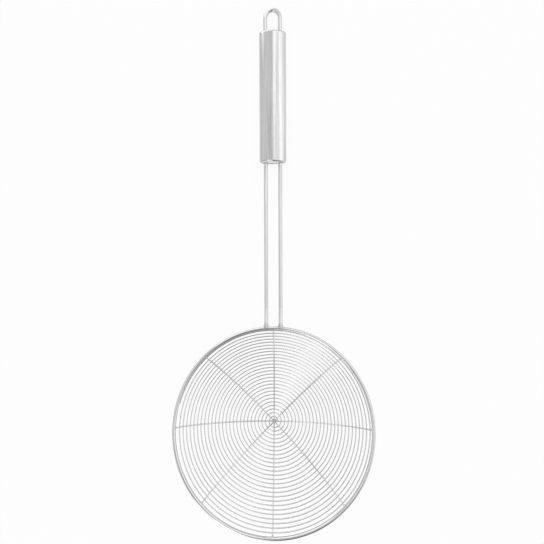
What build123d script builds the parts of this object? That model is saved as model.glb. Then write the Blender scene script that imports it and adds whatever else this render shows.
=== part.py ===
from build123d import *
import math
import os

# A wire skimmer: a shallow round bowl wound from one thin wire, on four spoke wires inside it, in a thick
# rim ring, with a two-legged wire handle that ends in a hanging loop and carries a hollow oval grip.
# Millimetres. The skimmer lies on a table as it does when it is put down: on the bottom of its bowl and
# on the far end of the grip. The table is z = 0, +Y runs from the bowl to the hanging loop, and the
# origin is the middle of the space that the skimmer takes, on the table.

# Bowl
rim_radius = 80.0            # to the middle of the rim wire
rim_wire = 3.0
bowl_depth = 32.0            # from the rim's plane down to the middle of the screen wire
screen_wire = 1.0
screen_turns = 26.5          # counted in half turns
screen_eye = 2.9             # from the bowl's middle to the inner end of the screen wire
screen_end_bearing = 284.0   # where the screen wire leaves the rim, in degrees clockwise from the handle
spoke_wire = 1.1
spoke_count = 4              # wires, each of them two spokes
spoke_rise = 11.0            # a spoke starts to climb over the others this far from the bowl's middle
weld_sink = 0.1              # how deep welded wires bite into each other
crossing_sink = 0.45         # the same where the spokes are pressed together in the middle

# Handle
handle_wire = 3.4
foot_length = 14.2           # from the rim to the bend of each leg
foot_bend_radius = 9.0
handle_rise = 12.5           # degrees that the handle climbs from the rim's plane
weld_collar = 0.5            # how far the weld at each foot stands out round its leg
weld_collar_length = 2.4

# Grip
sleeve_start = 121.6         # from the bend of the legs
sleeve_length = 105.0
sleeve_width = 22.0
leg_inset = 5.0              # from each side of the grip in to the middle of the leg there
sleeve_height = 11.0
sleeve_side_radius = 3.5     # of the narrow sides of its oval
sleeve_wall = 0.7
sleeve_end_round = 1.5
mouth_lip = 1.6              # width of the rolled-in edge that each cap sits in
cap_thickness = 1.2
cap_recess = 0.3
cap_clearance = 0.05
leg_clearance = 0.05
loop_straight = 11.6         # of each leg between the grip and the bend of the hanging loop

overrun = 1.0                # cuts run this far past what they cut

# The bowl is a cap of a ball
ball_radius = (rim_radius**2 + bowl_depth**2) / (2 * bowl_depth)
ball_height = ball_radius - bowl_depth   # of the ball's middle above the rim's plane
rim_reach = ball_radius * math.asin(rim_radius / ball_radius)   # from the middle to the rim, on the ball

# How the skimmer lies on the table
leg_spacing = sleeve_width - 2 * leg_inset   # between the middles of the two legs
rise = math.radians(handle_rise)
bend_y = rim_radius + rim_wire / 2 + foot_length
sleeve_end = sleeve_start + sleeve_length
loop_middle = sleeve_end + loop_straight
heel_along = sleeve_end - sleeve_end_round
heel_drop = sleeve_height / 2 - sleeve_end_round
heel_y = bend_y + heel_along * math.cos(rise) + heel_drop * math.sin(rise)
heel_below_ball = ball_height - heel_along * math.sin(rise) + heel_drop * math.cos(rise)
ball_on_table = ball_radius + screen_wire / 2
heel_span = math.hypot(heel_y, heel_below_ball)
tilt = math.asin((ball_on_table - sleeve_end_round) / heel_span) - math.atan2(heel_below_ball, heel_y)
slope = rise - tilt   # of the handle above the table

# The rim's plane, with its +Y to the handle and its +Z out of the bowl, and the handle's plane
rim_y = -ball_height * math.sin(tilt)
rim_z = ball_on_table - ball_height * math.cos(tilt)
far_rim_y = rim_y - rim_radius * math.cos(tilt) - rim_wire / 2
loop_end_y = (
    rim_y
    + bend_y * math.cos(tilt)
    + (loop_middle + leg_spacing / 2) * math.cos(slope)
    + handle_wire / 2
)
rim_origin = Vector(0, rim_y - (far_rim_y + loop_end_y) / 2, rim_z)
rim_plane = Plane(origin=rim_origin, x_dir=(1, 0, 0), z_dir=(0, math.sin(tilt), math.cos(tilt)))
handle_plane = Plane(
    origin=rim_plane.from_local_coords(Vector(0, bend_y, 0)),
    x_dir=(1, 0, 0),
    z_dir=(0, -math.sin(slope), math.cos(slope)),
)


def bowl_direction(x, y, z):
    """A direction given along the axes of the rim's plane."""
    return rim_plane.x_dir * x + rim_plane.y_dir * y + rim_plane.z_dir * z


def bowl_point(bearing, reach, height):
    """A point of the bowl: clockwise from the handle, out from the middle and up from the screen wire."""
    turn = math.radians(bearing)
    lean = reach / ball_radius
    radius = ball_radius - height
    out = radius * math.sin(lean)
    return rim_origin + bowl_direction(
        out * math.sin(turn), out * math.cos(turn), ball_height - radius * math.cos(lean)
    )


def biarc(start, start_tangent, end, end_tangent):
    """Two arcs that meet smoothly, drawn into the line that is being built."""
    chord = end - start
    tangent_sum = start_tangent + end_tangent
    spread = 2 * (1 - start_tangent.dot(end_tangent))
    along = chord.dot(tangent_sum)
    square = chord.dot(chord)
    arm = square / (math.sqrt(along**2 + spread * square) + along)
    middle = (start + start_tangent * arm + end - end_tangent * arm) * 0.5
    TangentArc(start, middle, tangent=start_tangent)
    TangentArc(middle, end, tangent=middle - start - start_tangent * arm)


def round_wire(path, diameter):
    """Sweeps a round wire along a path, into the part that is being built."""
    with BuildSketch(Plane(origin=path @ 0, z_dir=path % 0)) as section:
        Circle(diameter / 2)
    sweep(sections=section.sketch, path=path)


# Rim ring
with BuildPart() as rim_ring:
    with BuildLine(rim_plane) as rim_path:
        CenterArc((0, 0), rim_radius, 0, 360)
    round_wire(rim_path.wires()[0], rim_wire)

# Screen wire: from the rim inwards, one step of its pitch for every full turn
touch = (rim_wire + screen_wire) / 2 - weld_sink
screen_start = rim_reach - 2 * ball_radius * math.asin(touch / 2 / ball_radius)
screen_pitch = (screen_start - screen_eye) / screen_turns


def screen_point(turns):
    """The middle of the screen wire, so many turns in from the rim."""
    return bowl_point(screen_end_bearing + 360 * turns, screen_start - screen_pitch * turns, 0)


def screen_tangent(turns):
    """Which way the screen wire runs there."""
    bearing = math.radians(screen_end_bearing + 360 * turns)
    lean = (screen_start - screen_pitch * turns) / ball_radius
    inward = -screen_pitch
    around = math.tau * ball_radius * math.sin(lean)
    return bowl_direction(
        inward * math.cos(lean) * math.sin(bearing) + around * math.cos(bearing),
        inward * math.cos(lean) * math.cos(bearing) - around * math.sin(bearing),
        inward * math.sin(lean),
    ).normalized()


with BuildPart() as screen_spiral:
    with BuildLine() as screen_path:
        for half_turn in range(round(2 * screen_turns)):
            biarc(
                screen_point(half_turn / 2),
                screen_tangent(half_turn / 2),
                screen_point(half_turn / 2 + 0.5),
                screen_tangent(half_turn / 2 + 0.5),
            )
    round_wire(screen_path.wires()[0], screen_wire)

# The least gap between the turns of the screen wire, measured on points along its middle
points_in_turn = 24
screen_spots = [screen_point(step / points_in_turn) for step in range(round(screen_turns * points_in_turn))]
screen_gap = min(
    (far - near).length
    for index, near in enumerate(screen_spots)
    for far in screen_spots[index + points_in_turn // 2 :]
) - screen_wire
print("least gap of the screen wire to itself", round(screen_gap, 2), "mm")

# Spoke wires: on the screen wire, each one climbing over those before it where they cross
spoke_height = (screen_wire + spoke_wire) / 2 - weld_sink
spoke_reach = rim_reach - math.sqrt((rim_wire / 2) ** 2 - spoke_height**2)
spoke_step = spoke_wire - crossing_sink
spoke_wires = []
for number in range(spoke_count):
    bearing = 90 + number * 180 / spoke_count
    heading = math.radians(bearing)
    across = bowl_direction(math.sin(heading), math.cos(heading), 0)
    top = bowl_point(bearing, 0, spoke_height + number * spoke_step)
    with BuildPart() as spoke:
        with BuildLine() as spoke_path:
            if number == 0:
                ThreePointArc(
                    bowl_point(bearing + 180, spoke_reach, spoke_height),
                    top,
                    bowl_point(bearing, spoke_reach, spoke_height),
                )
            else:
                lean = spoke_rise / ball_radius
                near_foot = bowl_point(bearing + 180, spoke_rise, spoke_height)
                far_foot = bowl_point(bearing, spoke_rise, spoke_height)
                down = across * math.cos(lean) - rim_plane.z_dir * math.sin(lean)
                up = across * math.cos(lean) + rim_plane.z_dir * math.sin(lean)
                ThreePointArc(
                    bowl_point(bearing + 180, spoke_reach, spoke_height),
                    bowl_point(bearing + 180, (spoke_reach + spoke_rise) / 2, spoke_height),
                    near_foot,
                )
                biarc(near_foot, down, top, across)
                biarc(top, across, far_foot, up)
                ThreePointArc(
                    far_foot,
                    bowl_point(bearing, (spoke_reach + spoke_rise) / 2, spoke_height),
                    bowl_point(bearing, spoke_reach, spoke_height),
                )
        round_wire(spoke_path.wires()[0], spoke_wire)
    spoke.part.label = f"spoke_wire_{number + 1}"
    spoke_wires.append(spoke.part)

# Handle wire: foot, leg, hanging loop, leg and foot in one piece, each foot welded on outside the rim
bend_setback = foot_bend_radius * math.tan(rise / 2)
half_spacing = leg_spacing / 2


def foot_point(side, out):
    """A point of a foot, in the rim's plane, so far out from the bowl's middle."""
    return rim_origin + bowl_direction(side * half_spacing, out, 0)


def leg_point(side, along):
    """A point of a leg, so far up from its bend."""
    return handle_plane.from_local_coords(Vector(side * half_spacing, along, 0))


with BuildPart() as handle_wire_piece:
    with BuildLine() as handle_path:
        Line(foot_point(-1, rim_radius), foot_point(-1, bend_y - bend_setback))
        TangentArc(
            foot_point(-1, bend_y - bend_setback), leg_point(-1, bend_setback), tangent=rim_plane.y_dir
        )
        Line(leg_point(-1, bend_setback), leg_point(-1, loop_middle))
        ThreePointArc(
            leg_point(-1, loop_middle), leg_point(0, loop_middle + half_spacing), leg_point(1, loop_middle)
        )
        Line(leg_point(1, loop_middle), leg_point(1, bend_setback))
        TangentArc(
            leg_point(1, bend_setback), foot_point(1, bend_y - bend_setback), tangent=-handle_plane.y_dir
        )
        Line(foot_point(1, bend_y - bend_setback), foot_point(1, rim_radius))
    round_wire(handle_path.wires()[0], handle_wire)
    for side in (-1, 1):
        collar_plane = Plane(origin=foot_point(side, rim_radius), x_dir=(1, 0, 0), z_dir=rim_plane.y_dir)
        with BuildSketch(collar_plane):
            Circle(handle_wire / 2 + weld_collar)
        with BuildSketch(collar_plane.offset(rim_wire / 2 + weld_collar_length)):
            Circle(handle_wire / 2)
        loft()
    add(rim_ring.part, mode=Mode.SUBTRACT)
    with BuildSketch(rim_plane.offset(-rim_radius)):
        Circle(rim_radius)
    extrude(amount=2 * rim_radius, mode=Mode.SUBTRACT)

# Grip: a thin oval tube with its ends rolled in to a mouth at each end
sleeve_plane = Plane(
    origin=handle_plane.from_local_coords(Vector(0, sleeve_start, 0)),
    x_dir=(1, 0, 0),
    z_dir=handle_plane.y_dir,
)


side_centre = sleeve_width / 2 - sleeve_side_radius
flat_radius = (side_centre**2 + (sleeve_height / 2) ** 2 - sleeve_side_radius**2) / (
    sleeve_height - 2 * sleeve_side_radius
)
flat_centre = flat_radius - sleeve_height / 2
flat_half_angle = math.degrees(math.atan2(side_centre, flat_centre))


def oval_bar(plane, inset, length, mode=Mode.ADD):
    """A bar of the sleeve's oval section, its outline set in all round, in the part being built."""
    with BuildSketch(plane) as section:
        with BuildLine():
            flat = CenterArc(
                (0, -flat_centre), flat_radius - inset, 90 - flat_half_angle, 2 * flat_half_angle
            )
            side = CenterArc(
                (side_centre, 0), sleeve_side_radius - inset, flat_half_angle - 90, 180 - 2 * flat_half_angle
            )
            mirror(flat, about=Plane.XZ)
            mirror(side, about=Plane.YZ)
        make_face()
    extrude(section.sketch, amount=length, mode=mode)


with BuildPart() as sleeve_hollow:
    oval_bar(sleeve_plane.offset(sleeve_wall), sleeve_wall, sleeve_length - 2 * sleeve_wall)
    fillet(sleeve_hollow.edges().filter_by(GeomType.CIRCLE), sleeve_end_round - sleeve_wall)

with BuildPart() as handle_sleeve:
    oval_bar(sleeve_plane, 0, sleeve_length)
    fillet(handle_sleeve.edges().filter_by(GeomType.CIRCLE), sleeve_end_round)
    add(sleeve_hollow.part, mode=Mode.SUBTRACT)
    oval_bar(sleeve_plane.offset(-overrun), mouth_lip, sleeve_length + 2 * overrun, Mode.SUBTRACT)


def sleeve_cap(start):
    """A cap in one mouth of the sleeve, with a hole for each leg."""
    with BuildPart() as cap:
        oval_bar(sleeve_plane.offset(start), mouth_lip + cap_clearance, cap_thickness)
        with BuildSketch(sleeve_plane.offset(start)):
            with GridLocations(leg_spacing, 0, 2, 1):
                Circle(handle_wire / 2 + leg_clearance)
        extrude(amount=cap_thickness, mode=Mode.SUBTRACT)
    return cap.part


front_cap = sleeve_cap(cap_recess)
rear_cap = sleeve_cap(sleeve_length - cap_recess - cap_thickness)

rim_ring.part.label = "rim_ring"
screen_spiral.part.label = "screen_spiral"
handle_wire_piece.part.label = "handle_wire"
handle_sleeve.part.label = "handle_sleeve"
front_cap.label = "front_cap"
rear_cap.label = "rear_cap"

os.makedirs("parts", exist_ok=True)
for piece in (
    rim_ring.part,
    screen_spiral.part,
    *spoke_wires,
    handle_wire_piece.part,
    handle_sleeve.part,
    front_cap,
    rear_cap,
):
    export_step(piece, f"parts/{piece.label}.step")
print("the rim leans", round(math.degrees(tilt), 2), "degrees, the handle", round(math.degrees(slope), 2))
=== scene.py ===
import math
import random

import bmesh
import bpy
from mathutils import Matrix, Vector, noise


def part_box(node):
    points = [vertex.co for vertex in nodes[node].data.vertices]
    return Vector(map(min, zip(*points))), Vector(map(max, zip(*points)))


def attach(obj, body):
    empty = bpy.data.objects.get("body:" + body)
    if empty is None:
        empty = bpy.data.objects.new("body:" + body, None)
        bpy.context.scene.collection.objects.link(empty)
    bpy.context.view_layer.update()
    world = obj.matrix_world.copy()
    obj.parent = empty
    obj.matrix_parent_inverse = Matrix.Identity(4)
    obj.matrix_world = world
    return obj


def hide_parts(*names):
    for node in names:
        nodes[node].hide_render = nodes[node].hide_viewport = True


# A steel wire skimmer lies face up on a white table, on the bottom of its bowl and the far end of its grip.
# Metres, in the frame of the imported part: +Y runs from the bowl to the hanging loop.

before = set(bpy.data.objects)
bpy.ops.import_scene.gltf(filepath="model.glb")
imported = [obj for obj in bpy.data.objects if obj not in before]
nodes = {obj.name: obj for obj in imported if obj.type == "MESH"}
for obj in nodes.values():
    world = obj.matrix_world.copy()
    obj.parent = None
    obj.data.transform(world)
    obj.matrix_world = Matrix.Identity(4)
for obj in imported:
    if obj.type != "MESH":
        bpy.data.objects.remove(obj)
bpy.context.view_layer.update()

# Sizes of the wires and of the bowl, as in the part
rim_radius = 0.080
rim_wire = 0.0030
bowl_depth = 0.032
screen_wire = 0.0010
screen_turns = 26.5
screen_eye = 0.0029          # how far from the middle the screen wire ends
screen_end_bearing = 284.0   # where it ends at the rim, in degrees clockwise from the handle
spoke_wire = 0.0011
spoke_count = 4
spoke_step = 0.00065         # how much each spoke climbs over the one before it, in the middle
first_spoke_bearing = 90
leg_spacing = 0.012
weld_sink = 0.0001           # how far welded wires bite into each other
arm_count = 2 * spoke_count  # each spoke has two arms, from the middle to the rim
arm_angle = 360 / arm_count

# Sizes of the weld beads: half their widths, and where they lie
crossing_bead_width = 0.00060
crossing_bead_height = 0.00024
crossing_bead_spread = (0.92, 1.1)       # the smallest and the largest bead, as shares of the width
first_bead_reach = 0.009     # nearer the middle the spokes climb over each other and off the screen wire
spoke_end_bead = (0.00085, 0.00095, 0.00075)
spoke_bead_inset = 0.0002
screen_end_bead = (0.0012, 0.0008, 0.0007)
screen_bead_turn = 0.4       # degrees from the end of the screen wire
screen_bead_out = 0.0004
middle_bead = (0.00125, 0.00125, 0.00145)
foot_bead = (0.0009, 0.0011, 0.0011)
foot_bead_aside = 0.0014     # from the middle of its leg
foot_bead_out = 0.0013       # from the middle of the rim wire
foot_heat_out = 0.0010       # the same, for the middle of the heat in a leg

# The bowl is a cap of a ball
ball_radius = (rim_radius**2 + bowl_depth**2) / (2 * bowl_depth)
ball_height = ball_radius - bowl_depth
rim_reach = ball_radius * math.asin(rim_radius / ball_radius)
touch = (rim_wire + screen_wire) / 2 - weld_sink       # between the middles of the rim and the first turn
screen_start = rim_reach - 2 * ball_radius * math.asin(touch / 2 / ball_radius)
screen_pitch = (screen_start - screen_eye) / screen_turns
spoke_height = (screen_wire + spoke_wire) / 2 - weld_sink
spoke_reach = rim_reach - math.sqrt((rim_wire / 2) ** 2 - spoke_height**2)

# The rim's own axes, read from its box: X to the right, Y to the handle, Z out of the bowl
rim_low, rim_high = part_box("rim_ring")
rim_middle = (rim_low + rim_high) / 2
rim_lean = math.atan2(rim_high.z - rim_low.z - rim_wire, rim_high.y - rim_low.y - rim_wire)
rim_frame = Matrix.Translation(rim_middle) @ Matrix.Rotation(-rim_lean, 4, "X")


def bowl_point(bearing, reach, height):
    """A point of the bowl: clockwise from the handle, out from its middle, and up from the screen wire."""
    turn = math.radians(bearing)
    lean = reach / ball_radius
    radius = ball_radius - height
    out = radius * math.sin(lean)
    up = ball_height - radius * math.cos(lean)
    return rim_frame @ Vector((out * math.sin(turn), out * math.cos(turn), up))


def bowl_place(bearing, reach, height):
    """Axes on the bowl: X clockwise round it, Y outwards along it, Z up from it."""
    turn = math.radians(bearing)
    lean = reach / ball_radius
    facing = Matrix.Rotation(-turn, 4, "Z") @ Matrix.Rotation(lean, 4, "X")
    return Matrix.Translation(bowl_point(bearing, reach, height)) @ rim_frame.to_3x3().to_4x4() @ facing


# Camera

camera_lens = 26.0
sensor_width = 36.0
camera_right = 0.0008        # how far the rim's middle lies right of the camera's axis
camera_down = 0.1256
camera_back = 0.3145
camera_pitch = 0.171         # radians, like the two that follow
camera_yaw = 0.0371
camera_roll = 0.0046


def add_camera():
    """The photographer's view: from over the legs, straight down on the skimmer."""
    data = bpy.data.cameras.new("camera")
    data.lens = camera_lens
    data.sensor_width = sensor_width
    data.clip_start = 0.01
    camera = bpy.data.objects.new("camera", data)
    turn = (
        Matrix.Rotation(camera_roll, 4, "Z")
        @ Matrix.Rotation(camera_yaw, 4, "Y")
        @ Matrix.Rotation(camera_pitch, 4, "X")
    )
    camera.matrix_world = rim_frame @ turn @ Matrix.Translation((-camera_right, camera_down, camera_back))
    bpy.context.scene.collection.objects.link(camera)
    bpy.context.scene.camera = camera


# Shader nodes

line_depth = 0.00002         # of the finest lines in the steel
rough_spread = 0.25          # how much the streaks change the roughness, either way
scratch_turns = (0.5, -1.1)  # radians from the length of the skimmer
smudge_colour = (0.45, 0.44, 0.42, 1)
# Heat tint colours; at the crossings of the screen wire and the spokes they also paint the shade where the
# wires meet
warm_steel = (0.69, 0.68, 0.665, 1)      # steel that a weld has heated, from the outside in
dull_steel = (0.62, 0.615, 0.605, 1)
grey_steel = (0.54, 0.54, 0.54, 1)


def add_node(tree, kind, inputs=None, **settings):
    """A node with its settings, each input given a value or linked to a socket."""
    node = tree.nodes.new(kind)
    for key, value in settings.items():
        setattr(node, key, value)
    for key, value in (inputs or {}).items():
        if isinstance(value, bpy.types.NodeSocket):
            tree.links.new(value, node.inputs[key])
        else:
            node.inputs[key].default_value = value
    return node


def calculate(tree, operation, *values):
    """The result of one sum, on values or sockets."""
    return add_node(tree, "ShaderNodeMath", dict(enumerate(values)), operation=operation).outputs[0]


def ramp(tree, value, low, high, start=0.0, end=1.0):
    """A value taken smoothly from start to end as it goes from low to high."""
    inputs = {"Value": value, "From Min": low, "From Max": high, "To Min": start, "To Max": end}
    return add_node(tree, "ShaderNodeMapRange", inputs, interpolation_type="SMOOTHSTEP").outputs["Result"]


def blend_colours(tree, amount, first, second):
    """One colour turned into another by an amount."""
    inputs = {"Factor": amount, 6: first, 7: second}
    return add_node(tree, "ShaderNodeMix", inputs, data_type="RGBA").outputs[2]


def new_group(name, inputs, outputs):
    """An empty effect with named sockets: its tree, the sockets that come in and the node that goes out."""
    tree = bpy.data.node_groups.new(name, "ShaderNodeTree")
    for label, kind, value in inputs:
        socket = tree.interface.new_socket(label, in_out="INPUT", socket_type=kind)
        socket.default_value = value
    for label, kind in outputs:
        tree.interface.new_socket(label, in_out="OUTPUT", socket_type=kind)
    return tree, tree.nodes.new("NodeGroupInput").outputs, tree.nodes.new("NodeGroupOutput").inputs


def bowl_position_group():
    """Where a place is on the bowl: along the rim's axes, out from its middle, and its bearing in turns."""
    tree, given, result = new_group(
        "bowl_position",
        [("Place", "NodeSocketVector", (0, 0, 0))],
        [
            ("Right", "NodeSocketFloat"),
            ("To handle", "NodeSocketFloat"),
            ("Up", "NodeSocketFloat"),
            ("Out", "NodeSocketFloat"),
            ("Turns", "NodeSocketFloat"),
        ],
    )
    local = add_node(
        tree,
        "ShaderNodeMapping",
        {"Vector": given["Place"], "Location": rim_middle, "Rotation": (-rim_lean, 0, 0)},
        vector_type="TEXTURE",
    )
    axes = add_node(tree, "ShaderNodeSeparateXYZ", {0: local.outputs[0]}).outputs
    flat = add_node(tree, "ShaderNodeCombineXYZ", {"X": axes["X"], "Y": axes["Y"]}).outputs[0]
    out = add_node(tree, "ShaderNodeVectorMath", {0: flat}, operation="LENGTH").outputs["Value"]
    angle = calculate(tree, "ARCTAN2", axes["X"], axes["Y"])
    tree.links.new(axes["X"], result["Right"])
    tree.links.new(axes["Y"], result["To handle"])
    tree.links.new(axes["Z"], result["Up"])
    tree.links.new(out, result["Out"])
    tree.links.new(calculate(tree, "DIVIDE", angle, math.tau), result["Turns"])
    return tree


def drawn_lines_group():
    """Fine lines that a die or a belt leaves along a wire or tube, with slower changes along it."""
    tree, given, result = new_group(
        "drawn_lines",
        [
            ("Along A", "NodeSocketFloat", 0.0),
            ("Along B", "NodeSocketFloat", 0.0),
            ("Across A", "NodeSocketFloat", 0.0),
            ("Across B", "NodeSocketFloat", 0.0),
            ("Line length", "NodeSocketFloat", 0.010),
            ("Line width", "NodeSocketFloat", 0.0001),
        ],
        [("Line", "NodeSocketFloat"), ("Streak", "NodeSocketFloat")],
    )
    for label, widths in (("Line", 1.0), ("Streak", 7.0)):
        width = calculate(tree, "MULTIPLY", given["Line width"], widths)
        place = {
            "X": calculate(tree, "DIVIDE", given["Along A"], given["Line length"]),
            "Y": calculate(tree, "DIVIDE", given["Along B"], given["Line length"]),
            "Z": calculate(tree, "DIVIDE", given["Across A"], width),
        }
        inputs = {
            "Vector": add_node(tree, "ShaderNodeCombineXYZ", place).outputs[0],
            "W": calculate(tree, "DIVIDE", given["Across B"], width),
            "Scale": 1.0,
            "Detail": 3.0,
            "Roughness": 0.6,
        }
        marks = add_node(tree, "ShaderNodeTexNoise", inputs, noise_dimensions="4D").outputs["Fac"]
        tree.links.new(marks, result[label])
    return tree


def handling_group():
    """The marks of use: soft smudges, and fine scratches that run two ways."""
    tree, given, result = new_group(
        "handling",
        [
            ("Place", "NodeSocketVector", (0, 0, 0)),
            ("Smudge size", "NodeSocketFloat", 0.012),
            ("Scratch length", "NodeSocketFloat", 0.012),
            ("Scratch width", "NodeSocketFloat", 0.00015),
        ],
        [("Smudge", "NodeSocketFloat"), ("Scratch", "NodeSocketFloat")],
    )
    scale = calculate(tree, "DIVIDE", 1.0, given["Smudge size"])
    cloud_inputs = {
        "Vector": given["Place"],
        "Scale": scale,
        "Detail": 5.0,
        "Roughness": 0.55,
        "Distortion": 0.4,
    }
    cloud = add_node(tree, "ShaderNodeTexNoise", cloud_inputs).outputs["Fac"]
    tree.links.new(ramp(tree, cloud, low=0.42, high=0.68), result["Smudge"])
    scratches = 0.0
    across = calculate(tree, "DIVIDE", 1.0, given["Scratch width"])
    along = calculate(tree, "DIVIDE", 1.0, given["Scratch length"])
    stretch = add_node(tree, "ShaderNodeCombineXYZ", {"X": across, "Y": along, "Z": along}).outputs[0]
    for angle in scratch_turns:
        turn_inputs = {"Vector": given["Place"], "Angle": angle}
        turned = add_node(tree, "ShaderNodeVectorRotate", turn_inputs, rotation_type="Z_AXIS").outputs[0]
        stretched = add_node(tree, "ShaderNodeVectorMath", {0: turned, 1: stretch}, operation="MULTIPLY")
        mark_inputs = {"Vector": stretched.outputs[0], "Scale": 1.0, "Detail": 1.0, "Roughness": 0.4}
        marks = add_node(tree, "ShaderNodeTexNoise", mark_inputs).outputs["Fac"]
        scratches = calculate(tree, "MAXIMUM", scratches, ramp(tree, marks, low=0.70, high=0.78))
    tree.links.new(scratches, result["Scratch"])
    return tree


def heat_tint_and_shade_group():
    """Steel that a weld has heated: hardly yellower at the outside, then duller, then grey at the weld. At
    the wire crossings the same darkening is also painted shade where the wires meet.
    """
    tree, given, result = new_group(
        "heat_tint_and_shade",
        [
            ("Steel", "NodeSocketColor", (0.7, 0.7, 0.7, 1)),
            ("Place", "NodeSocketVector", (0, 0, 0)),
            ("Heat", "NodeSocketFloat", 0.0),
        ],
        [("Color", "NodeSocketColor"), ("Scale", "NodeSocketFloat")],
    )
    patch_inputs = {"Vector": given["Place"], "Scale": 900.0, "Detail": 3.0, "Roughness": 0.6}
    patch = add_node(tree, "ShaderNodeTexNoise", patch_inputs).outputs["Fac"]
    patchy = ramp(tree, patch, low=0.25, high=0.75, start=0.75, end=1.25)
    uneven = calculate(tree, "MULTIPLY", given["Heat"], patchy)
    warm = blend_colours(tree, ramp(tree, uneven, low=0.05, high=0.45), given["Steel"], warm_steel)
    dull = blend_colours(tree, ramp(tree, uneven, low=0.40, high=0.75), warm, dull_steel)
    grey = blend_colours(tree, ramp(tree, uneven, low=0.75, high=1.0), dull, grey_steel)
    tree.links.new(grey, result["Color"])
    tree.links.new(ramp(tree, uneven, low=0.35, high=0.95), result["Scale"])
    return tree


def steel_material(
    name,
    groups,
    colour,
    roughness,
    pattern,
    relief=0.15,
    streak_dark=0.06,
    smudge_dark=0.05,
    smudge_rough=0.06,
    scratch_rough=0.10,
    scratch_depth=0.4,
    scale_rough=0.16,
):
    """Bright steel with the lines, handling marks and heat tint that its piece has; at the wire crossings
    the heat tint also paints shade.

    pattern gives, from the tree and the sockets of the place, the inputs of the drawn lines and the heat.
    """
    material = bpy.data.materials.new(name)
    material.use_nodes = True
    tree = material.node_tree
    shader = tree.nodes["Principled BSDF"]
    shader.inputs["Metallic"].default_value = 1.0
    place = add_node(tree, "ShaderNodeTexCoord").outputs["Object"]
    bowl = add_node(tree, "ShaderNodeGroup", node_tree=groups["bowl_position"])
    tree.links.new(place, bowl.inputs["Place"])
    line_inputs, heat = pattern(tree, place, bowl.outputs)
    lines = add_node(tree, "ShaderNodeGroup", node_tree=groups["drawn_lines"])
    marks = add_node(tree, "ShaderNodeGroup", node_tree=groups["handling"])
    tint = add_node(tree, "ShaderNodeGroup", node_tree=groups["heat_tint_and_shade"])
    tree.links.new(place, marks.inputs["Place"])
    tree.links.new(place, tint.inputs["Place"])
    for label, value in line_inputs.items():
        if isinstance(value, bpy.types.NodeSocket):
            tree.links.new(value, lines.inputs[label])
        else:
            lines.inputs[label].default_value = value
    if isinstance(heat, bpy.types.NodeSocket):
        tree.links.new(heat, tint.inputs["Heat"])

    # The colour: a little darker in the streaks and under the smudges
    darker = [channel * (1 - streak_dark) for channel in colour]
    streak = ramp(tree, lines.outputs["Streak"], low=0.3, high=0.7)
    streaked = blend_colours(tree, streak, (*darker, 1), (*colour, 1))
    smudge = calculate(tree, "MULTIPLY", marks.outputs["Smudge"], smudge_dark)
    smudged = blend_colours(tree, smudge, streaked, smudge_colour)
    tree.links.new(smudged, tint.inputs["Steel"])
    # Heat tint on top, and at the wire crossings painted shade as well
    tree.links.new(tint.outputs["Color"], shader.inputs["Base Color"])

    # The roughness: from the streaks, the smudges, the scratches and the scale
    smoothest = roughness * (1 - rough_spread)
    roughest = roughness * (1 + rough_spread)
    rough = ramp(tree, lines.outputs["Streak"], low=0.25, high=0.75, start=smoothest, end=roughest)
    smeared = calculate(tree, "MULTIPLY", marks.outputs["Smudge"], smudge_rough)
    scratched = calculate(tree, "MULTIPLY", marks.outputs["Scratch"], scratch_rough)
    scaled = calculate(tree, "MULTIPLY", tint.outputs["Scale"], scale_rough)
    for extra in (smeared, scratched, scaled):
        rough = calculate(tree, "ADD", rough, extra)
    tree.links.new(rough, shader.inputs["Roughness"])

    # The relief: fine lines, less the scratches
    scratches = calculate(tree, "MULTIPLY", marks.outputs["Scratch"], scratch_depth)
    height = calculate(tree, "SUBTRACT", lines.outputs["Line"], scratches)
    bump_inputs = {"Height": height, "Strength": relief, "Distance": line_depth}
    bump = add_node(tree, "ShaderNodeBump", bump_inputs)
    tree.links.new(bump.outputs[0], shader.inputs["Normal"])
    return material


def heat_near(tree, distance, inner, outer):
    """A mask that fades out from a weld: all of it within the inner distance, none past the outer one. At
    the wire crossings it carries painted shade as well as heat.
    """
    return ramp(tree, distance, low=inner, high=outer, start=1.0, end=0.0)


def distance_to(tree, place, point):
    """How far a place is from a point."""
    inputs = {0: place, 1: point}
    return add_node(tree, "ShaderNodeVectorMath", inputs, operation="DISTANCE").outputs["Value"]


def off_whole(tree, value):
    """How far a value is from the nearest whole number."""
    difference = calculate(tree, "SUBTRACT", value, calculate(tree, "ROUND", value))
    return calculate(tree, "ABSOLUTE", difference)


def ring_lines(bowl, line_length, line_width):
    """Lines that run round the rim and the screen wire."""
    return {
        "Along A": bowl["Right"],
        "Along B": bowl["To handle"],
        "Across A": bowl["Out"],
        "Across B": bowl["Up"],
        "Line length": line_length,
        "Line width": line_width,
    }


def foot_place(side, out):
    """A place on a foot of the handle, so far out from the bowl's middle."""
    return rim_frame @ Vector((side * leg_spacing / 2, out, 0))


def rim_pattern(tree, place, bowl):
    """The rim: lines round it, and heat where each foot of the handle is welded on."""
    near = calculate(
        tree,
        "MINIMUM",
        distance_to(tree, place, foot_place(-1, rim_radius)),
        distance_to(tree, place, foot_place(1, rim_radius)),
    )
    lines = ring_lines(bowl, line_length=0.012, line_width=0.00009)
    return lines, heat_near(tree, near, inner=0.0016, outer=0.0045)


def screen_pattern(tree, place, bowl):
    """The screen wire: lines round it, and a darker spot at each crossing with a spoke, partly heat tint
    and partly painted shade where the wires meet.
    """
    arms = calculate(tree, "MULTIPLY", bowl["Turns"], arm_count)
    angle = calculate(tree, "MULTIPLY", off_whole(tree, arms), math.tau / arm_count)
    distance = calculate(tree, "MULTIPLY", angle, bowl["Out"])
    lines = ring_lines(bowl, line_length=0.008, line_width=0.00005)
    # Painted shade as well as heat tint: darker where the spoke lies on the wire
    return lines, heat_near(tree, distance, inner=0.0003, outer=0.0011)


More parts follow.
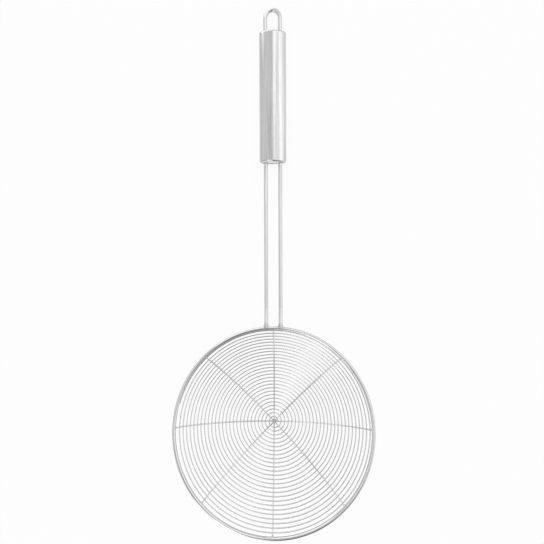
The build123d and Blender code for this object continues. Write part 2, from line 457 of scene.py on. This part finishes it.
def spoke_pattern(number):
    """A spoke: lines along it, and a darker spot at each crossing with the screen wire, partly heat tint
    and partly painted shade where the wires meet.
    """
    bearing = first_spoke_bearing + number * arm_angle
    turn = math.radians(bearing)

    def pattern(tree, place, bowl):
        right = calculate(tree, "MULTIPLY", bowl["Right"], math.sin(turn))
        forward = calculate(tree, "MULTIPLY", bowl["To handle"], math.cos(turn))
        along = calculate(tree, "ADD", right, forward)
        sideways = calculate(
            tree,
            "SUBTRACT",
            calculate(tree, "MULTIPLY", bowl["Right"], math.cos(turn)),
            calculate(tree, "MULTIPLY", bowl["To handle"], math.sin(turn)),
        )
        sine = calculate(tree, "DIVIDE", bowl["Out"], ball_radius - spoke_height)
        reach = calculate(tree, "MULTIPLY", calculate(tree, "ARCSINE", sine), ball_radius)
        turns = calculate(tree, "DIVIDE", calculate(tree, "SUBTRACT", screen_start, reach), screen_pitch)
        other_arm = calculate(tree, "MULTIPLY", calculate(tree, "LESS_THAN", along, 0.0), 0.5)
        start = (bearing - screen_end_bearing) / 360
        phase = calculate(tree, "SUBTRACT", calculate(tree, "SUBTRACT", turns, start), other_arm)
        distance = calculate(tree, "MULTIPLY", off_whole(tree, phase), screen_pitch)
        # Painted shade as well as heat tint: darker where the screen wire meets the spoke
        crossing_heat_and_shade = heat_near(tree, distance, inner=0.0002, outer=0.0007)
        middle = heat_near(tree, bowl["Out"], inner=0.0020, outer=0.0050)
        lines = {
            "Along A": along,
            "Across A": sideways,
            "Across B": bowl["Up"],
            "Line length": 0.010,
            "Line width": 0.00005,
        }
        return lines, calculate(tree, "MAXIMUM", crossing_heat_and_shade, middle)

    return pattern


def handle_pattern(tree, place, bowl):
    """The handle wire: lines along the legs, and heat at its feet."""
    axes = add_node(tree, "ShaderNodeSeparateXYZ", {0: place}).outputs
    near = calculate(
        tree,
        "MINIMUM",
        distance_to(tree, place, foot_place(-1, rim_radius + foot_heat_out)),
        distance_to(tree, place, foot_place(1, rim_radius + foot_heat_out)),
    )
    lines = {
        "Along A": axes["Y"],
        "Across A": axes["X"],
        "Across B": axes["Z"],
        "Line length": 0.020,
        "Line width": 0.00010,
    }
    return lines, heat_near(tree, near, inner=0.0018, outer=0.0055)


def sleeve_pattern(tree, place, bowl):
    """The grip: brushed along its length."""
    axes = add_node(tree, "ShaderNodeSeparateXYZ", {0: place}).outputs
    lines = {
        "Along A": axes["Y"],
        "Across A": axes["X"],
        "Across B": axes["Z"],
        "Line length": 0.110,
        "Line width": 0.00016,
    }
    return lines, 0.0


def cap_pattern(tree, place, bowl):
    """A cap: the faint lines of rolled sheet across it."""
    axes = add_node(tree, "ShaderNodeSeparateXYZ", {0: place}).outputs
    lines = {
        "Along A": axes["X"],
        "Across A": axes["Z"],
        "Across B": axes["Y"],
        "Line length": 0.006,
        "Line width": 0.00008,
    }
    return lines, 0.0


def weld_pattern(tree, place, bowl):
    """A weld: heated all over, with a rippled skin."""
    lines = ring_lines(bowl, line_length=0.0006, line_width=0.0003)
    heat = add_node(tree, "ShaderNodeTexNoise", {"Vector": place, "Scale": 700.0}).outputs["Fac"]
    return lines, heat


def paper():
    """The white table: the camera and the steel see it white, with a faint shadow of the skimmer on it."""
    white_share = 0.90
    sheet_colour = (0.96, 0.96, 0.96, 1)
    material = bpy.data.materials.new("white_paper")
    material.use_nodes = True
    tree = material.node_tree
    tree.nodes.remove(tree.nodes["Principled BSDF"])
    rays = add_node(tree, "ShaderNodeLightPath").outputs
    seen = calculate(tree, "MAXIMUM", rays["Is Camera Ray"], rays["Is Glossy Ray"])
    seen = calculate(tree, "MAXIMUM", seen, rays["Is Transmission Ray"])
    share = calculate(tree, "MULTIPLY", seen, white_share)
    sheet = add_node(tree, "ShaderNodeBsdfDiffuse", {"Color": sheet_colour}).outputs[0]
    glow = add_node(tree, "ShaderNodeEmission", {"Color": (1, 1, 1, 1), "Strength": 1.0}).outputs[0]
    mixed = add_node(tree, "ShaderNodeMixShader", {0: share, 1: sheet, 2: glow}).outputs[0]
    tree.links.new(mixed, tree.nodes["Material Output"].inputs["Surface"])
    return material


# Light

lamp_distance = 1.3          # from the middle of the skimmer
room_low = 0.50              # how bright the room is at the floor, and overhead
room_high = 0.81
room_least = 0.03


def sky_place(bearing, from_top):
    """Axes on the sky, Z away from the skimmer: clockwise from the loop's end, and down from overhead."""
    across = Matrix.Rotation(-math.radians(bearing), 4, "Z")
    down = Matrix.Rotation(-math.radians(from_top), 4, "X")
    return across @ down @ Matrix.Translation((0, 0, lamp_distance))


def add_softbox(name, bearing, from_top, width, height, radiance):
    """A softbox that faces the skimmer, its width and height in degrees as the skimmer sees them."""
    data = bpy.data.lights.new(name, "AREA")
    data.shape = "RECTANGLE"
    data.size = 2 * lamp_distance * math.tan(math.radians(width / 2))
    data.size_y = 2 * lamp_distance * math.tan(math.radians(height / 2))
    data.energy = radiance * math.pi * data.size * data.size_y
    lamp = bpy.data.objects.new(name, data)
    lamp.matrix_world = sky_place(bearing, from_top)
    bpy.context.scene.collection.objects.link(lamp)


def add_room(dark_places):
    """The room round the table: bright, dimmer towards the floor and in its dark places overhead.

    Each dark place is its bearing, its angle from the top, its half width in degrees, and its depth.
    """
    world = bpy.data.worlds.new("room")
    world.use_nodes = True
    tree = world.node_tree
    direction = add_node(tree, "ShaderNodeTexCoord").outputs["Generated"]
    height = add_node(tree, "ShaderNodeSeparateXYZ", {0: direction}).outputs["Z"]
    strength = ramp(tree, height, low=0.05, high=0.4, start=room_low, end=room_high)
    overhead = ramp(tree, height, low=0.2, high=0.5)
    for bearing, from_top, size, depth in dark_places:
        inputs = {0: direction, 1: sky_place(bearing, from_top).translation.normalized()}
        towards = add_node(tree, "ShaderNodeVectorMath", inputs, operation="DOT_PRODUCT").outputs["Value"]
        edge = math.cos(math.radians(size))
        core = math.cos(math.radians(size / 3))
        dark = ramp(tree, towards, low=edge, high=core, start=0.0, end=depth)
        shade = calculate(tree, "MULTIPLY", overhead, dark)
        strength = calculate(tree, "SUBTRACT", strength, shade)
    strength = calculate(tree, "MAXIMUM", strength, room_least)
    tree.links.new(strength, tree.nodes["Background"].inputs["Strength"])
    tree.nodes["Background"].inputs["Color"].default_value = (1, 1, 1, 1)
    bpy.context.scene.world = world


# Pieces

def finished(piece, material):
    """Gives a piece its material and its place on the skimmer."""
    piece.data.materials.clear()
    piece.data.materials.append(material)
    for face in piece.data.polygons:
        face.use_smooth = True
    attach(piece, "root")
    return piece


def wire(name, points, diameter, sides=12):
    """A round wire along points, as a closed mesh."""
    curve = bpy.data.curves.new(name, "CURVE")
    curve.dimensions = "3D"
    curve.bevel_depth = diameter / 2
    curve.bevel_resolution = (sides - 4) // 2
    curve.use_fill_caps = True
    spline = curve.splines.new("POLY")
    spline.points.add(len(points) - 1)
    for place, point in zip(spline.points, points):
        place.co = (*point, 1)
    drawn = bpy.data.objects.new(name, curve)
    bpy.context.scene.collection.objects.link(drawn)
    mesh = bpy.data.meshes.new_from_object(drawn.evaluated_get(bpy.context.evaluated_depsgraph_get()))
    bpy.data.objects.remove(drawn)
    bpy.data.curves.remove(curve)
    piece = bpy.data.objects.new(name, mesh)
    bpy.context.scene.collection.objects.link(piece)
    return piece


def screen_points(steps_in_turn=120):
    """Points along the middle of the screen wire, from the rim inwards."""
    steps = round(screen_turns * steps_in_turn)
    return [
        bowl_point(
            screen_end_bearing + 360 * step / steps_in_turn,
            screen_start - screen_pitch * step / steps_in_turn,
            0,
        )
        for step in range(steps + 1)
    ]


def mesh_piece(name, shape):
    """Turns a finished bmesh into an object of the scene."""
    bmesh.ops.recalc_face_normals(shape, faces=shape.faces)
    mesh = bpy.data.meshes.new(name)
    shape.to_mesh(mesh)
    shape.free()
    piece = bpy.data.objects.new(name, mesh)
    bpy.context.scene.collection.objects.link(piece)
    return piece


def crossings():
    """Each crossing of the screen wire with a spoke: its bearing and how far out along the bowl it is."""
    for arm in range(arm_count):
        bearing = arm * arm_angle
        turns = ((bearing - screen_end_bearing) / 360) % 1
        while turns < screen_turns:
            yield bearing, screen_start - screen_pitch * turns
            turns += 1


def order_faces(shape):
    """Orders the faces by their corners, because Blender's spheres have another order in each run."""
    shape.verts.index_update()
    ordered = sorted(shape.faces, key=lambda face: sorted(corner.index for corner in face.verts))
    for number, face in enumerate(ordered):
        face.index = number
    shape.faces.sort()


def crossing_welds():
    """The spot welds of the screen wire on the spokes: squeezed beads, a little wider than the wires."""
    chance = random.Random(7)
    shape = bmesh.new()
    for bearing, reach in crossings():
        if reach < first_bead_reach:
            continue
        width = crossing_bead_width * chance.uniform(*crossing_bead_spread)
        size = Matrix.Diagonal((width, width, crossing_bead_height, 1))
        place = bowl_place(bearing, reach, screen_wire / 2)
        bmesh.ops.create_uvsphere(shape, u_segments=8, v_segments=6, radius=1.0, matrix=place @ size)
    order_faces(shape)
    return mesh_piece("crossing_welds", shape)


def lumpy_bead(shape, place, half_widths, lumps, seed):
    """One weld bead with an uneven skin, in the shape that is being built."""
    lumps_across = 1.7
    made = bmesh.ops.create_icosphere(shape, subdivisions=3, radius=1.0)["verts"]
    for corner in made:
        swell = 1 + lumps * noise.noise(corner.co * lumps_across + Vector((seed, 0, 0)))
        corner.co = place @ (Matrix.Diagonal((*half_widths, 1)) @ (corner.co * swell))


def rim_welds():
    """The welds where the spokes and the outer end of the screen wire meet the rim."""
    shape = bmesh.new()
    for arm in range(arm_count):
        place = bowl_place(arm * arm_angle, spoke_reach - spoke_bead_inset, spoke_height)
        lumpy_bead(shape, place, spoke_end_bead, lumps=0.18, seed=arm)
    place = bowl_place(screen_end_bearing + screen_bead_turn, screen_start + screen_bead_out, 0)
    lumpy_bead(shape, place, screen_end_bead, lumps=0.18, seed=9)
    return mesh_piece("rim_welds", shape)


def middle_weld():
    """The weld that holds the four spokes together over the middle of the bowl."""
    shape = bmesh.new()
    height = spoke_height + (spoke_count - 1) / 2 * spoke_step
    lumpy_bead(shape, bowl_place(0, 0, height), middle_bead, lumps=0.15, seed=3)
    return mesh_piece("middle_weld", shape)


def foot_welds():
    """The welds that join the feet of the handle to the outside of the rim."""
    shape = bmesh.new()
    for side in (-1, 1):
        for across in (-1, 1):
            right = side * leg_spacing / 2 + across * foot_bead_aside
            place = rim_frame @ Matrix.Translation((right, rim_radius + foot_bead_out, 0))
            lumpy_bead(shape, place, foot_bead, lumps=0.22, seed=5 + side + 3 * across)
    return mesh_piece("foot_welds", shape)


# The scene

dark_overhead = (191, 30, 62, 0.33)
dark_far_right = (149, 48, 41, 0.34)
add_camera()
add_room([dark_overhead, dark_far_right])
add_softbox("main_softbox", bearing=78, from_top=44, width=90, height=73, radiance=0.32)
add_softbox("top_softbox", bearing=276, from_top=22, width=26, height=28, radiance=0.6)
add_softbox("low_near_softbox", bearing=337, from_top=72, width=45, height=28, radiance=1.15)
add_softbox("low_far_softbox", bearing=202, from_top=64, width=34, height=23, radiance=1.4)
add_softbox("near_strip", bearing=12, from_top=34, width=9, height=44, radiance=0.45)
add_softbox("far_strip", bearing=204, from_top=43, width=9, height=41, radiance=1.0)
add_softbox("right_strip", bearing=81, from_top=43, width=64, height=14, radiance=0.36)

groups = {
    "bowl_position": bowl_position_group(),
    "drawn_lines": drawn_lines_group(),
    "handling": handling_group(),
    "heat_tint_and_shade": heat_tint_and_shade_group(),
}
bright = (0.72, 0.72, 0.725)
duller = (0.68, 0.675, 0.665)
rim_steel = steel_material("rim_steel", groups, bright, roughness=0.10, pattern=rim_pattern)
screen_steel = steel_material("screen_steel", groups, bright, roughness=0.12, pattern=screen_pattern)
handle_steel = steel_material("handle_steel", groups, bright, roughness=0.10, pattern=handle_pattern)
sleeve_steel = steel_material(
    "sleeve_steel", groups, bright, roughness=0.16, pattern=sleeve_pattern, relief=0.2, streak_dark=0.16
)
cap_steel = steel_material("cap_steel", groups, bright, roughness=0.22, pattern=cap_pattern)
weld_steel = steel_material("weld_steel", groups, duller, roughness=0.26, pattern=weld_pattern, relief=0.6)
node_materials = {
    "rim_ring": rim_steel,
    "handle_wire": handle_steel,
    "handle_sleeve": sleeve_steel,
    "front_cap": cap_steel,
    "rear_cap": cap_steel,
}
for number in range(spoke_count):
    node_materials[f"spoke_wire_{number + 1}"] = steel_material(
        f"spoke_steel_{number + 1}", groups, bright, roughness=0.12, pattern=spoke_pattern(number)
    )
for name, material in node_materials.items():
    for slot in nodes[name].material_slots:
        slot.material = material

screen = finished(wire("screen_wire", screen_points(), screen_wire), screen_steel)
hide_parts("screen_spiral")
finished(crossing_welds(), weld_steel)
finished(rim_welds(), weld_steel)
finished(middle_weld(), weld_steel)
finished(foot_welds(), weld_steel)

table_radius = 6.0
table_shape = bmesh.new()
bmesh.ops.create_circle(table_shape, cap_ends=True, segments=96, radius=table_radius)
table = mesh_piece("table", table_shape)
table.data.materials.append(paper())

bpy.context.scene.view_settings.view_transform = "Standard"
